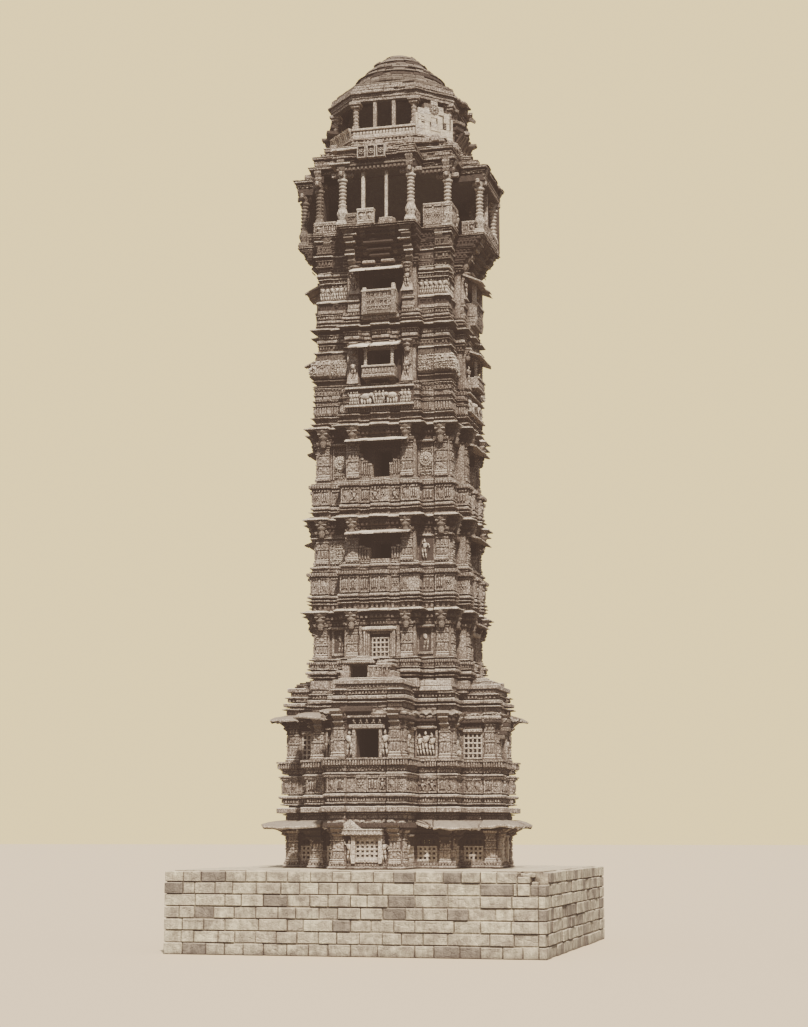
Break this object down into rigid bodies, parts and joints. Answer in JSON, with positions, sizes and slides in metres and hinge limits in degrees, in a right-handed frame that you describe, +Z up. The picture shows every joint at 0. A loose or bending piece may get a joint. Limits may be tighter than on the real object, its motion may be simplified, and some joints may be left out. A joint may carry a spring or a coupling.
{
  "type": "nine-storey carved stone temple tower",
  "caption": "Square hollow stone tower of stacked carved storeys with hooded window bays, a flared open gallery and a stepped dome, on a masonry platform.",
  "frame": {"origin": "on the ground under the tower's axis, at the middle of the platform's underside", "axes": "+Z up, -Y towards the front, +X towards the tower's right side as seen from the front"},
  "size_m": [14.32, 14.32, 37.19],
  "materials": {
    "carved_stone": "weathered, rough",
    "dark_stone": "weathered, rough, darkened undersides",
    "pale_stone": "plain squared blocks, rough"
  },
  "bodies": {
    "root": {"platform": "pale_stone", "ground_storey_walls": "carved_stone", "ground_storey_eave": "carved_stone", "storey_2_base": "carved_stone", "storey_2_floor": "dark_stone", "storey_2_seat": "carved_stone", "storey_2_walls": "carved_stone", "storey_2_eave": "carved_stone", "storey_2_roof": "carved_stone", "right_arm_roof": "carved_stone", "left_arm_roof": "carved_stone", "back_arm_roof": "carved_stone", "front_arm_roof": "carved_stone", "storey_3_base": "carved_stone", "storey_3_floor": "dark_stone", "storey_3_walls": "carved_stone", "storey_3_cornice": "carved_stone", "storey_4_base": "carved_stone", "storey_4_floor": "dark_stone", "storey_4_walls": "carved_stone", "storey_4_cornice": "carved_stone", "storey_5_base": "carved_stone", "storey_5_floor": "dark_stone", "storey_5_walls": "carved_stone", "storey_5_cornice": "carved_stone", "storey_6_base": "carved_stone", "storey_6_floor": "dark_stone", "storey_6_walls": "carved_stone", "storey_6_cornice": "carved_stone", "storey_7_base": "carved_stone", "storey_7_floor": "dark_stone", "storey_7_walls": "carved_stone", "storey_8_corbels": "dark_stone", "storey_8_floor": "carved_stone", "front_gallery_columns": "carved_stone", "right_gallery_columns": "carved_stone", "back_gallery_columns": "carved_stone", "left_gallery_columns": "carved_stone", "storey_8_roof": "carved_stone", "storey_9_floor": "dark_stone", "storey_9_parapet": "carved_stone", "infill_wall": "pale_stone", "storey_9_posts": "carved_stone", "storey_9_eave": "carved_stone", "dome": "carved_stone"}
  },
  "joints": []
}
